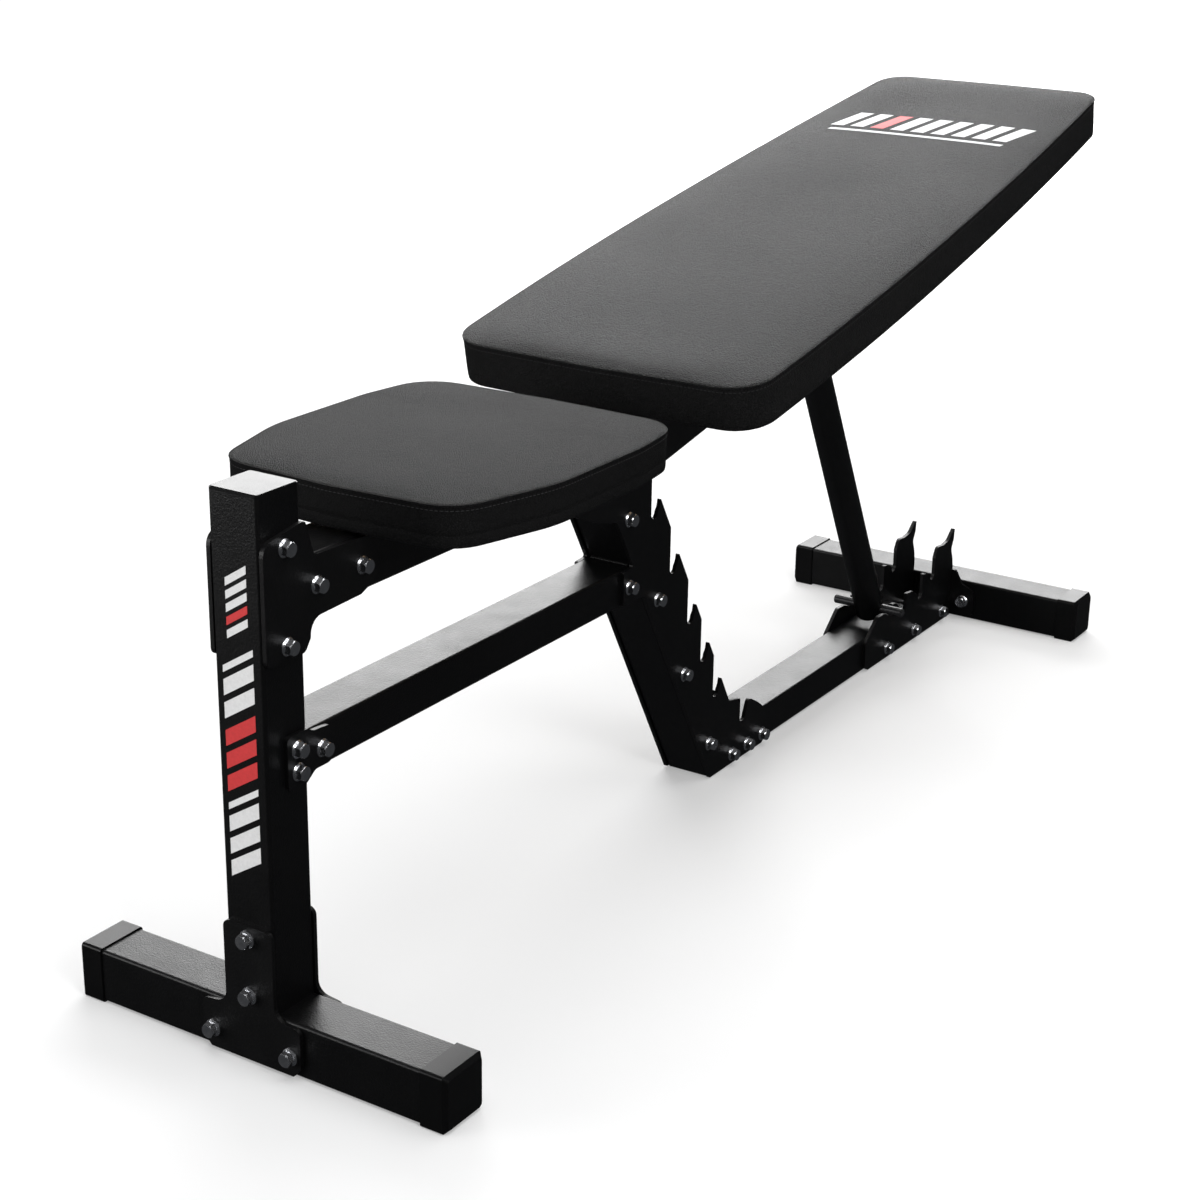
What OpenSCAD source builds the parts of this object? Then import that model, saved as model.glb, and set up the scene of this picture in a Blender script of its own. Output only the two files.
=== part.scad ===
// Adjustable weight bench: bolted steel frame, fixed seat, hinged backrest on a hook-in strut.
// Millimetres. +Z is up and +Y runs from the front post to the rear foot. X = 0 is the middle plane.
// The origin lies on the floor, under the middle of the whole bench.

/* [Steel frame] */
// Side of the square tubes of the post, the seat tube and both feet
tube = 50; // [48:0.5:50]
// Wall thickness of the steel tubes
wall = 2.5; // [2:0.5:3]
// Length of each cross foot over its end caps
foot_len = 400; // [360:5:460]
// Height of the top of the front post, plug included
post_top = 504; // [496:1:520]
// Height of the top of the seat tube
seat_tube_top = 440; // [438:1:441]
// Height of the middle beam's section
beam_h = 38; // [34:1:40]
// Height of the top of the middle beam
beam_top = 292; // [290:1:294]
// Height of the base rail's section
base_h = 40; // [36:1:42]
// Depth of the slanted tube's section
slant_d = 30; // [26:1:31]
// Distance from the front post's middle to the rear foot's middle
wheelbase = 1333; // [1333:1:1336]
// Thickness of the bolted steel plates
plate = 4; // [3:0.5:4]

/* [Cushions] */
// Thickness of the seat cushion
seat_thick = 36; // [32:1:40]
// Thickness of the backrest cushion
back_thick = 44; // [38:1:46]
// Length of the backrest cushion
back_len = 923; // [863:5:923]
// Half of the backrest cushion's greatest width
back_half = 177; // [160:1:180]
// Thickness of the vinyl covers
skin = 2; // [1.5:0.5:3]

/* [Backrest and strut] */
// Tilt of the backrest in its lowest strut position
rest_tilt = 10.8; // [10.8:0.1:10.8]
// Width of each backrest rail
rail_w = 20; // [18:1:20]
// Outer diameter of the strut tube
strut_d = 35; // [30:1:36]
// Diameter of the strut's hook bar
bar_d = 11; // [10:0.5:11]
// Length of the strut's hook bar
bar_len = 92; // [84:1:96]

/* [Hidden] */

half = tube / 2;
corner = 3;
cap_wall = 1.5;
cap_len = 26;
floor_gap = cap_wall;
foot_top = floor_gap + tube;
seat_tube_bottom = seat_tube_top - tube;
seat_tube_end = 424;
bracket = 4;
seat_bottom = seat_tube_top + bracket;
seat_top = seat_bottom + seat_thick;
board = 10;
face = half + plate;
bolt_r = 4;
hole_r = 4.4;
slope = tan(60);
slant_front = 492;
slant_front_z = 343;
slant_top = 385;
low = 2;
// Backrest hinge, the strut's pin, and the strut's bar in the first catch, as [y, z]
pivot = [508, 432];
pin = [901, 482];
bar_rest = [1124, 63];
pin_r = 6;
back_low = 24;
rail_top = 20.5;
rail_low = -39.5;
rail_in = 30.5;
rail_out = rail_in + rail_w;
rail_front = -18;
rail_rear = 640;
back_front = -11;
cross_at = [62, 315, 595];
cross_screw = 95;
// Seats of the strut's bar in the ladder plates and in the catch plates, as [y, z]
hooks = [[557, 337.5], [596, 269], [634, 203], [664, 151], [693, 101]];
low_hook = [755.5, 51];
catches = [bar_rest, [1164, 51], [1210.5, 58], [1244.5, 74]];
slot = bar_d / 2 + 0.5;
gusset_bolt_at = [[0, 456], [0, 374], [38, 415], [96, 415], [8, 283], [8, 263], [39, 273]];
catch_bolt_at = [[1120, 15], [1198, 15], [1279, 15]];
foot_bolt_at = [[0, 118], [0, 65], [-42, 21], [42, 21]];
seat_screw_at = [[-72, 170], [72, 170], [-72, 345], [72, 345]];
head_reach = half + plate + 8.4;
// The middle of the bench's length, measured from the post's middle
pad_rear = pivot.x + (back_front + back_len) * cos(rest_tilt) - back_low * sin(rest_tilt);
mid_y = (pad_rear - head_reach) / 2;

function unit(v) = v / norm(v);
function slant_y(z) = slant_front + (slant_front_z - z) / slope;
function slant_mid(z) = [slant_y(z) + slant_d / sin(60) / 2, z];
// The arc that replaces the corner b between a and c
function corner_arc(a, b, c, r, n = 6) =
    let (
        u = unit(a - b),
        w = unit(c - b),
        h = acos(u * w) / 2,
        o = b + unit(u + w) * r / sin(h),
        p = b + u * r / tan(h) - o,
        q = b + w * r / tan(h) - o,
        s = atan2(p.y, p.x),
        d = atan2(q.y, q.x) - s,
        sweep = d > 180 ? d - 360 : d < -180 ? d + 360 : d
    )
    [for (i = [0 : n]) o + r * [cos(s + sweep * i / n), sin(s + sweep * i / n)]];
function flat(p) = [p.x, p.y];
// An outline whose corners [x, y, r] are rounded to the radius r
function outline(p) = [
    for (i = [0 : len(p) - 1])
        let (a = flat(p[(i + len(p) - 1) % len(p)]), b = flat(p[i]), c = flat(p[(i + 1) % len(p)]))
        each p[i].z > 0 ? corner_arc(a, b, c, p[i].z) : [b]
];

module on_floor() {
    translate([0, -mid_y, 0]) children();
}

// The backrest's own frame: x across, y along the cushion, z out of it, from the hinge
module on_backrest() {
    on_floor() translate([0, pivot.x, pivot.y]) rotate([rest_tilt, 0, 0]) children();
}

// A plate outline drawn in (y, z), standing upright across x from x0
module upright(x0, t) {
    translate([x0, 0, 0]) rotate([90, 0, 90]) linear_extrude(t) children();
}

module bore_x(p, r) {
    translate([0, p.x, p.y]) rotate([0, 90, 0]) cylinder(h = 160, r = r, center = true, $fn = 48);
}

module bore_y(x, y, z, r, length = 160) {
    translate([x, y, z]) rotate([90, 0, 0]) cylinder(h = length, r = r, center = true, $fn = 48);
}

module rounded_rect(w, h, r) {
    square([w - 2 * r, h], center = true);
    square([w, h - 2 * r], center = true);
    for (x = [-1, 1], y = [-1, 1])
        translate([x * (w / 2 - r), y * (h / 2 - r)]) circle(r, $fn = 32);
}

module section(w, h, t = wall, r = corner) {
    difference() {
        rounded_rect(w, h, r);
        rounded_rect(w - 2 * t, h - 2 * t, r - 1.5);
    }
}

module tube_y(y0, y1, z_top, w, h) {
    translate([0, y1, z_top - h / 2]) rotate([90, 0, 0]) linear_extrude(y1 - y0) section(w, h);
}

// Everything behind the slanted tube's rear face, or in front of its front face
module slant_half(shift) {
    translate([0, slant_front + shift, slant_front_z]) rotate([30, 0, 0])
        translate([-100, 0, -600]) cube([200, 600, 1200]);
}

// A flange bolt whose flange rests on z = 0 and whose shank runs down
module flange_bolt(length, r = bolt_r) {
    translate([0, 0, -length]) cylinder(h = length + 1, r = r, $fn = 32);
    cylinder(h = 1.2, r = 7.9, $fn = 48);
    translate([0, 0, 1.2]) cylinder(h = 1.4, r1 = 7.9, r2 = 6.6, $fn = 48);
    intersection() {
        translate([0, 0, 1]) cylinder(h = 7.4, r = 6.9, $fn = 6);
        translate([0, 0, 1]) cylinder(h = 7.4, r1 = 11.4, r2 = 5.9, $fn = 48);
    }
}

// A flange nut whose flange rests on z = 0
module flange_nut(r = bolt_r) {
    difference() {
        union() {
            cylinder(h = 1.2, r = 7.9, $fn = 48);
            cylinder(h = 8, r = 6.9, $fn = 6);
        }
        translate([0, 0, -1]) cylinder(h = 12, r = r + 0.05, $fn = 32);
    }
}

module bolt_x(p, length = 2 * face + 10) {
    translate([face, p.x, p.y]) rotate([0, 90, 0]) flange_bolt(length);
}

module nut_x(p) {
    translate([-face, p.x, p.y]) rotate([0, -90, 0]) flange_nut();
}

// ---------------------------------------------------------------- feet

module foot(y) {
    difference() {
        translate([0, y, foot_top - half]) rotate([90, 0, 90])
            linear_extrude(foot_len - 6, center = true) section(tube, tube);
        children();
    }
}

module foot_cap(side, y) {
    translate([side * foot_len / 2, y, tube / 2 + cap_wall]) rotate([90, 0, -side * 90]) difference() {
        union() {
            translate([0, 0, 4]) linear_extrude(cap_len - 4)
                rounded_rect(tube + 2 * cap_wall, tube + 2 * cap_wall, 3);
            hull() {
                translate([0, 0, 3.9]) linear_extrude(0.2)
                    rounded_rect(tube + 2 * cap_wall, tube + 2 * cap_wall, 3);
                linear_extrude(0.2) rounded_rect(tube - 4, tube - 4, 4);
            }
        }
        translate([0, 0, 3]) linear_extrude(cap_len) rounded_rect(tube + 0.2, tube + 0.2, corner);
    }
}

module front_foot() {
    color("#17181a") on_floor() foot(0) {
        for (p = foot_bolt_at) bore_y(p.x, 0, p.y, hole_r);
    }
}

module front_cap_left() {
    color("#0d0d0e") on_floor() foot_cap(-1, 0);
}

module front_cap_right() {
    color("#0d0d0e") on_floor() foot_cap(1, 0);
}

module rear_foot() {
    color("#17181a") on_floor() foot(wheelbase) {
        for (x = [-47, 47]) bore_y(x, wheelbase, 25, hole_r);
    }
}

module rear_cap_left() {
    color("#0d0d0e") on_floor() foot_cap(-1, wheelbase);
}

module rear_cap_right() {
    color("#0d0d0e") on_floor() foot_cap(1, wheelbase);
}

// ---------------------------------------------------------------- front post

module front_post() {
    color("#17181a") on_floor() difference() {
        translate([0, 0, foot_top]) linear_extrude(post_top - 3 - foot_top) section(tube, tube);
        for (i = [0, 1, 4, 5]) bore_x(gusset_bolt_at[i], hole_r);
        for (i = [0, 1]) bore_y(0, 0, foot_bolt_at[i].y, hole_r);
    }
}

module tube_plug(w, h) {
    linear_extrude(2.2) rounded_rect(w, h, corner);
    translate([0, 0, 2.2]) linear_extrude(0.8) rounded_rect(w - 1.6, h - 1.6, corner - 0.8);
    translate([0, 0, -14]) linear_extrude(14) section(w - 2 * wall - 0.2, h - 2 * wall - 0.2, 2, 2.4);
}

module post_plug() {
    color("#0d0d0e") on_floor() translate([0, 0, post_top - 3]) tube_plug(tube, tube);
}

module foot_plate_outline() {
    polygon(outline([
        [-26, 130, 7], [-26, 51, 12], [-53, 48, 6], [-53, 12, 2], [-45, 3, 2],
        [45, 3, 2], [53, 12, 2], [53, 48, 6], [26, 51, 12], [26, 130, 7]
    ]));
}

module foot_plate(y) {
    difference() {
        translate([0, y, 0]) rotate([90, 0, 0]) linear_extrude(plate) foot_plate_outline();
        for (p = foot_bolt_at) bore_y(p.x, 0, p.y, hole_r);
    }
}

module foot_plate_front() {
    color("#1b1c1e") on_floor() foot_plate(-half);
}

module foot_plate_rear() {
    color("#1b1c1e") on_floor() foot_plate(half + plate);
}

module foot_bolts() {
    color("#b9bcc0") on_floor() for (p = foot_bolt_at)
        translate([p.x, -face, p.y]) rotate([90, 0, 0]) flange_bolt(2 * face + 10);
}

module foot_nuts() {
    color("#b9bcc0") on_floor() for (p = foot_bolt_at)
        translate([p.x, face, p.y]) rotate([-90, 0, 0]) flange_nut();
}

// ---------------------------------------------------------------- gusset plates

module upper_gusset(x0) {
    difference() {
        upright(x0, plate) polygon(outline([
            [-25, 464, 12], [-25, 362, 6], [22, 362, 6], [29, 372, 3], [30, 388, 14],
            [94, 390, 3], [104, 394, 3], [116, 394, 14], [116, 438, 14], [42, 440, 3],
            [36, 441, 5], [26, 472, 4]
        ]));
        for (i = [0 : 3]) bore_x(gusset_bolt_at[i], hole_r);
    }
}

module upper_gusset_left() {
    color("#1b1c1e") on_floor() upper_gusset(-face);
}

module upper_gusset_right() {
    color("#1b1c1e") on_floor() upper_gusset(half);
}

module lower_gusset(x0) {
    difference() {
        upright(x0, plate) polygon(outline([
            [-4, 296, 5], [-4, 249, 5], [19, 249, 5], [30, 257, 6], [52, 257, 6],
            [52, 290, 6], [28, 292, 6], [22, 296, 4]
        ]));
        for (i = [4 : 6]) bore_x(gusset_bolt_at[i], hole_r);
    }
}

module lower_gusset_left() {
    color("#1b1c1e") on_floor() lower_gusset(-face);
}

module lower_gusset_right() {
    color("#1b1c1e") on_floor() lower_gusset(half);
}

module gusset_bolts() {
    color("#b9bcc0") on_floor() for (p = gusset_bolt_at) bolt_x(p);
}

module gusset_nuts() {
    color("#b9bcc0") on_floor() for (p = gusset_bolt_at) nut_x(p);
}

// ---------------------------------------------------------------- long tubes

ladder_bolt_at = concat(
    [[352, 415], [398, 415], [512, 273]],
    [for (z = [344, 244, 144, 45]) slant_mid(z)],
    [[733, 14], [767, 14], [801, 14]]
);

module seat_tube() {
    color("#17181a") on_floor() difference() {
        tube_y(half, seat_tube_end, seat_tube_top, tube, tube);
        for (p = concat(gusset_bolt_at, ladder_bolt_at)) bore_x(p, hole_r);
        // Two tapped holes under each seat bracket
        for (y = [170, 345], s = [-12, 12])
            translate([s, y, seat_tube_top - 8]) cylinder(h = 20, r = 3.2, $fn = 32);
    }
}

module seat_tube_plug() {
    color("#0d0d0e") on_floor() translate([0, seat_tube_end, seat_tube_top - half])
        rotate([-90, 0, 0]) tube_plug(tube, tube);
}

module middle_beam() {
    color("#17181a") on_floor() difference() {
        tube_y(half, 560, beam_top, tube, beam_h);
        slant_half(0);
        for (p = [gusset_bolt_at[6], ladder_bolt_at[2]]) bore_x(p, hole_r);
    }
}

module slanted_tube() {
    length = (slant_top - low) / sin(60) + 60;
    color("#17181a") on_floor() difference() {
        intersection() {
            translate([0, slant_front, slant_front_z]) rotate([30, 0, 0]) translate([0, slant_d / 2, 80])
                rotate([180, 0, 0]) linear_extrude(length) section(tube, slant_d, wall, 3);
            translate([-60, 300, low]) cube([120, 600, slant_top - low]);
        }
        for (i = [3 : 6]) bore_x(ladder_bolt_at[i], hole_r);
    }
}

module slanted_tube_plug() {
    color("#0d0d0e") on_floor() intersection() {
        translate([0, slant_front, slant_front_z]) rotate([30, 0, 0])
            translate([0, slant_d / 2, 80]) rotate([180, 0, 0])
            linear_extrude(400) rounded_rect(tube, slant_d, 3);
        translate([-60, 300, slant_top]) cube([120, 400, 3]);
    }
}

module base_rail() {
    rear = wheelbase - half;
    color("#17181a") on_floor() difference() {
        intersection() {
            tube_y(600, rear, low + base_h, tube, base_h);
            slant_half(slant_d / sin(60));
        }
        for (p = concat(ladder_bolt_at, catch_bolt_at)) bore_x(p, hole_r);
    }
}

// ---------------------------------------------------------------- ladder plates

// From the tooth behind one seat to the wall in front of it
function hook_edge(k) =
    let (h = hooks[k], wall_y = h.x - slot, above = k > 0 ? hooks[k - 1] : [0, 0])
    concat(
        [[h.x + 11.5, h.y + 12.9, 0.7], [h.x + 9.6, h.y + 4.6, 8], [h.x + slot, h.y, 0], [wall_y, h.y, 0]],
        k > 0 ? [[wall_y, above.y + 9.5 - 1.7 * (wall_y - above.x - 13.5), 2]] : []
    );

ladder_edge = outline(concat(
    [
        [slant_y(low) - 2, low, 1.5], [803, low, 3], [812, 10, 3], [811, 40, 5], [790, 56, 8], [769, 68, 5],
        [low_hook.x + slot, low_hook.y, 0], [low_hook.x - slot, low_hook.y, 0],
        [low_hook.x - slot, 74, 3], [724, 80, 4]
    ],
    [for (k = [4 : -1 : 0]) each hook_edge(k)],
    [
        [hooks[0].x - slot, 396, 14], [529, 450, 16], [489, 450, 16], [482, 414, 12], [440, 412, 8],
        [431, 438, 4], [332, 438, 12], [332, 393, 12], [384, 392, 16], [420, 368, 20], [455, 354, 20],
        [488, 346, 4], [slant_y(beam_top) - 2, beam_top, 2], [502, beam_top - 1, 2],
        [502, beam_top - beam_h + 1, 2], [slant_y(beam_top - beam_h) - 2, beam_top - beam_h + 1, 2]
    ]
));

module ladder_plate(x0) {
    difference() {
        upright(x0, plate) polygon(ladder_edge);
        for (h = concat(hooks, [low_hook])) bore_x(h, slot);
        for (p = ladder_bolt_at) bore_x(p, hole_r);
        bore_x(pivot, pin_r + 0.1);
    }
}

module ladder_plate_left() {
    color("#1b1c1e") on_floor() ladder_plate(-face);
}

module ladder_plate_right() {
    color("#1b1c1e") on_floor() ladder_plate(half);
}

module ladder_bolts() {
    color("#b9bcc0") on_floor() for (p = ladder_bolt_at) bolt_x(p);
}

module ladder_nuts() {
    color("#b9bcc0") on_floor() for (p = ladder_bolt_at) nut_x(p);
}

// ---------------------------------------------------------------- catch plates

catch_edge = outline([
    [1070, low, 2], [1061, 9, 3], [1060, 38, 8], [1090, 64, 8], [1108, 63, 6],
    [1117, 59.5, 0], [1119, 57, 0], [1124, 57, 0], [1130, 63, 0], [1130, 69, 1], [1139, 68, 3],
    [1158, 54, 0], [1158, 51, 0], [1170, 51, 0], [1170, 71, 1], [1188, 69, 4],
    [1204.5, 60, 0], [1204.5, 58, 0], [1216.5, 58, 0], [1216.5, 83, 1], [1224, 82, 2],
    [1238.5, 76, 0], [1238.5, 74, 0], [1250.5, 74, 0],
    [1250, 96, 8], [1257, 108, 7], [1273, 106, 12], [1288, 108, 14], [1303, 120, 0.6],
    [1306, 119, 0.6], [1305, 106, 10], [1299, 94, 8], [1305, 80, 8], [1308, 66, 1],
    [1308, low + 1, 0], [1306, low, 0]
]);

module catch_plate(side) {
    x0 = side > 0 ? half : -face;
    rear = wheelbase - half;
    difference() {
        union() {
            intersection() {
                upright(x0, plate) polygon(catch_edge);
                translate([-60, 1000, 0]) cube([120, rear - 1000, 200]);
            }
            // The ear bent out along the rear foot
            translate([0, rear, 0]) rotate([90, 0, 0]) linear_extrude(plate) scale([side, 1])
                polygon(outline([
                    [half, 6, 0], [62, 6, 6], [62, 40, 8], [44, 48, 5], [35, 64, 5], [half, 66, 0]
                ]));
        }
        for (p = catches) bore_x(p, slot);
        for (p = catch_bolt_at) bore_x(p, hole_r);
        bore_y(side * 47, rear, 25, hole_r);
    }
}

module catch_plate_left() {
    color("#1b1c1e") on_floor() catch_plate(-1);
}

module catch_plate_right() {
    color("#1b1c1e") on_floor() catch_plate(1);
}

module catch_bolts() {
    color("#b9bcc0") on_floor() {
        for (p = catch_bolt_at) bolt_x(p);
        for (x = [-47, 47])
            translate([x, wheelbase - face, 25]) rotate([90, 0, 0]) flange_bolt(2 * half + plate + 10);
    }
}

module catch_nuts() {
    color("#b9bcc0") on_floor() {
        for (p = catch_bolt_at) nut_x(p);
        for (x = [-47, 47]) translate([x, wheelbase + half, 25]) rotate([-90, 0, 0]) flange_nut();
    }
}

// ---------------------------------------------------------------- seat

module seat_bracket(y) {
    difference() {
        translate([0, y, seat_tube_top]) linear_extrude(bracket) rounded_rect(190, 40, 6);
        for (s = [-12, 12]) translate([s, y, 400]) cylinder(h = 80, r = 3.2, $fn = 32);
        for (s = [-72, 72]) translate([s, y, 400]) cylinder(h = 80, r = 3.3, $fn = 32);
    }
}

module seat_bracket_front() {
    color("#17181a") on_floor() seat_bracket(seat_screw_at[0].y);
}

module seat_bracket_rear() {
    color("#17181a") on_floor() seat_bracket(seat_screw_at[2].y);
}

module seat_screws() {
    color("#b9bcc0") on_floor() {
        for (p = seat_screw_at) translate([p.x, p.y, seat_tube_top]) {
            translate([0, 0, -4]) cylinder(h = 4, r = 6, $fn = 32);
            cylinder(h = bracket + 7, r = 3, $fn = 32);
        }
        for (y = [170, 345], s = [-12, 12])
            translate([s, y, seat_tube_top - 4]) cylinder(h = bracket + 3.5, r = 3, $fn = 32);
    }
}

function seat_side(inset) = [
    [0, 88 + inset, 0], [122 - inset, 96 + inset, 42], [151 - inset, 200, 150], [151 - inset, 330, 150],
    [140 - inset, 409 - inset, 42], [0, 414 - inset, 0]
];

module seat_outline(inset) {
    right = seat_side(inset);
    polygon(outline(concat(right, [for (i = [4 : -1 : 1]) [-right[i].x, right[i].y, right[i].z]])));
}

module seat_board() {
    color("#6b5238") on_floor() difference() {
        translate([0, 0, seat_bottom]) linear_extrude(board) seat_outline(skin);
        for (p = seat_screw_at) translate([p.x, p.y, 0]) cylinder(h = 800, r = 3.1, $fn = 32);
    }
}

module seat_foam() {
    color("#8f8f8f") on_floor() translate([0, 0, seat_bottom + board])
        linear_extrude(seat_thick - board - skin) seat_outline(skin);
}

module seat_cover() {
    color("#202122") on_floor() translate([0, 0, seat_bottom]) difference() {
        linear_extrude(seat_thick) seat_outline(0);
        translate([0, 0, -1]) linear_extrude(seat_thick - skin + 1) seat_outline(skin);
    }
}

// ---------------------------------------------------------------- backrest hinge on the frame

module pivot_spacer() {
    color("#17181a") on_floor() translate([0, pivot.x, pivot.y]) rotate([0, 90, 0]) difference() {
        cylinder(h = tube, r = 12, center = true, $fn = 64);
        cylinder(h = tube + 2, r = pin_r + 0.1, center = true, $fn = 64);
    }
}

module big_hex(h) {
    intersection() {
        cylinder(h = h, r = 11, $fn = 6);
        cylinder(h = h, r1 = 17, r2 = 9.6, $fn = 64);
    }
}

module pivot_bolt() {
    color("#b9bcc0") on_floor() translate([rail_out + 0.7, pivot.x, pivot.y]) rotate([0, 90, 0]) {
        translate([0, 0, -2 * rail_out - 14]) cylinder(h = 2 * rail_out + 15, r = pin_r, $fn = 64);
        cylinder(h = 2.5, r = 12, $fn = 64);
        translate([0, 0, 2.5]) big_hex(7.5);
    }
}

module pivot_nut() {
    color("#b9bcc0") on_floor() translate([-rail_out - 0.7, pivot.x, pivot.y]) rotate([0, -90, 0]) difference() {
        union() {
            cylinder(h = 2.5, r = 12, $fn = 64);
            translate([0, 0, 2.5]) big_hex(9);
        }
        translate([0, 0, -1]) cylinder(h = 20, r = pin_r + 0.05, $fn = 64);
    }
}

// ---------------------------------------------------------------- backrest

pin_local = let (d = pin - pivot)
    [d.x * cos(rest_tilt) + d.y * sin(rest_tilt), d.y * cos(rest_tilt) - d.x * sin(rest_tilt)];

module back_rail(x0) {
    difference() {
        translate([x0 + rail_w / 2, rail_rear, (rail_top + rail_low) / 2]) rotate([90, 0, 0])
            linear_extrude(rail_rear - rail_front) section(rail_w, rail_top - rail_low, 2, 3);
        bore_x([0, 0], 9.05);
        bore_x(pin_local, pin_r + 0.1);
        for (y = cross_at) translate([x0 + rail_w / 2, y, 0]) cylinder(h = 30, r = 3.2, $fn = 32);
    }
}

module back_rail_left() {
    color("#17181a") on_backrest() back_rail(-rail_out);
}

module back_rail_right() {
    color("#17181a") on_backrest() back_rail(rail_in);
}

module back_rail_plugs() {
    color("#0d0d0e") on_backrest() for (x = [-1, 1]) {
        translate([x * (rail_in + rail_w / 2), rail_rear, (rail_top + rail_low) / 2]) rotate([-90, 0, 0]) {
            linear_extrude(2.5) rounded_rect(rail_w, rail_top - rail_low, 3);
            translate([0, 0, -10]) linear_extrude(10) rounded_rect(rail_w - 4.2, rail_top - rail_low - 4.2, 1.5);
        }
        translate([x * (rail_in + rail_w / 2), rail_front, (rail_top + rail_low) / 2]) rotate([90, 0, 0])
            linear_extrude(2.5) rounded_rect(rail_w, rail_top - rail_low, 3);
    }
}

module back_bushes() {
    color("#0d0d0e") on_backrest() for (s = [-1, 1])
        translate([s * (rail_in - 0.9), 0, 0]) rotate([0, s * 90, 0]) difference() {
            union() {
                cylinder(h = 0.9, r = 12, $fn = 64);
                cylinder(h = rail_w + 1.2, r = 9, $fn = 64);
            }
            translate([0, 0, -1]) cylinder(h = rail_w + 4, r = pin_r + 0.05, $fn = 64);
        }
}

module back_cross(y) {
    difference() {
        translate([0, y, rail_top]) linear_extrude(back_low - rail_top) rounded_rect(250, 50, 8);
        for (x = [-cross_screw, cross_screw]) translate([x, y, 0]) cylinder(h = 60, r = 3.3, $fn = 32);
        for (x = [-1, 1])
            translate([x * (rail_in + rail_w / 2), y, 0]) cylinder(h = 60, r = 3.2, $fn = 32);
    }
}

module back_cross_front() {
    color("#17181a") on_backrest() back_cross(cross_at[0]);
}

module back_cross_middle() {
    color("#17181a") on_backrest() back_cross(cross_at[1]);
}

module back_cross_rear() {
    color("#17181a") on_backrest() back_cross(cross_at[2]);
}

module back_screws() {
    color("#b9bcc0") on_backrest() for (y = cross_at) {
        for (x = [-cross_screw, cross_screw]) translate([x, y, rail_top]) {
            translate([0, 0, -4]) cylinder(h = 4, r = 6, $fn = 32);
            cylinder(h = 11, r = 3, $fn = 32);
        }
        for (x = [-1, 1])
            translate([x * (rail_in + rail_w / 2), y, rail_top - 6]) cylinder(h = 9, r = 3, $fn = 32);
    }
}

// Half width of the backrest cushion, which narrows in a curve towards the head and a little at the hinge
function back_width(y) =
    back_half - 36 * pow(max(0, y - 100) / 800, 2) - 5 * pow(max(0, 350 - y) / 350, 2);

module back_outline(inset) {
    tip = back_front + back_len;
    right = concat(
        [[0, back_front + inset, 0], [back_width(back_front) - inset, back_front + 4 + inset, 40]],
        [for (y = [100 : 100 : tip - 60]) [back_width(y) - inset, y, 0]],
        [[back_width(tip) - inset, tip - 2 - inset, 32], [0, tip - inset, 0]]
    );
    last = len(right) - 2;
    polygon(outline(concat(right, [for (i = [last : -1 : 1]) [-right[i].x, right[i].y, right[i].z]])));
}

module back_board() {
    color("#6b5238") on_backrest() difference() {
        translate([0, 0, back_low]) linear_extrude(board) back_outline(skin);
        for (y = cross_at, x = [-cross_screw, cross_screw])
            translate([x, y, 0]) cylinder(h = 34, r = 3.1, $fn = 32);
    }
}

module back_foam() {
    color("#8f8f8f") on_backrest() translate([0, 0, back_low + board])
        linear_extrude(back_thick - board - skin) back_outline(skin);
}

module back_cover() {
    color("#202122") on_backrest() translate([0, 0, back_low]) difference() {
        linear_extrude(back_thick) back_outline(0);
        translate([0, 0, -1]) linear_extrude(back_thick - skin + 1) back_outline(skin);
    }
}

module strut_bolt() {
    color("#b9bcc0") on_floor() translate([rail_out, pin.x, pin.y]) rotate([0, 90, 0]) {
        translate([0, 0, -2 * rail_out - 13]) cylinder(h = 2 * rail_out + 14, r = pin_r, $fn = 64);
        cylinder(h = 2.5, r = 12, $fn = 64);
        translate([0, 0, 2.5]) big_hex(7.5);
    }
}

module strut_nut() {
    color("#b9bcc0") on_floor() translate([-rail_out, pin.x, pin.y]) rotate([0, -90, 0]) difference() {
        union() {
            cylinder(h = 2.5, r = 12, $fn = 64);
            translate([0, 0, 2.5]) big_hex(9);
        }
        translate([0, 0, -1]) cylinder(h = 20, r = pin_r + 0.05, $fn = 64);
    }
}

// ---------------------------------------------------------------- strut

strut_len = norm(bar_rest - pin);
strut_tilt = atan2(bar_rest.x - pin.x, pin.y - bar_rest.y);

// The strut's own frame: z runs from the bar's end up to the pin
module on_strut() {
    on_floor() translate([0, pin.x, pin.y]) rotate([strut_tilt, 0, 0]) children();
}

module strut_tube() {
    color("#17181a") on_strut() difference() {
        translate([0, 0, -strut_len - 9]) difference() {
            cylinder(h = strut_len + 9, r = strut_d / 2, $fn = 96);
            translate([0, 0, -1]) cylinder(h = strut_len + 20, r = strut_d / 2 - wall, $fn = 96);
        }
        rotate([0, 90, 0]) cylinder(h = 80, r = 11, center = true, $fn = 64);
        translate([0, 0, -strut_len]) rotate([0, 90, 0])
            cylinder(h = 80, r = bar_d / 2, center = true, $fn = 64);
    }
}

module strut_sleeve() {
    color("#17181a") on_strut() rotate([0, 90, 0]) difference() {
        cylinder(h = 2 * rail_in - 0.8, r = 11, center = true, $fn = 64);
        cylinder(h = 2 * rail_in, r = pin_r + 0.05, center = true, $fn = 64);
    }
}

module strut_bar() {
    color("#1d1e20") on_strut() translate([0, 0, -strut_len]) rotate([0, 90, 0]) union() {
        cylinder(h = bar_len - 2, r = bar_d / 2, center = true, $fn = 64);
        cylinder(h = bar_len, r = bar_d / 2 - 1, center = true, $fn = 64);
    }
}

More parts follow.
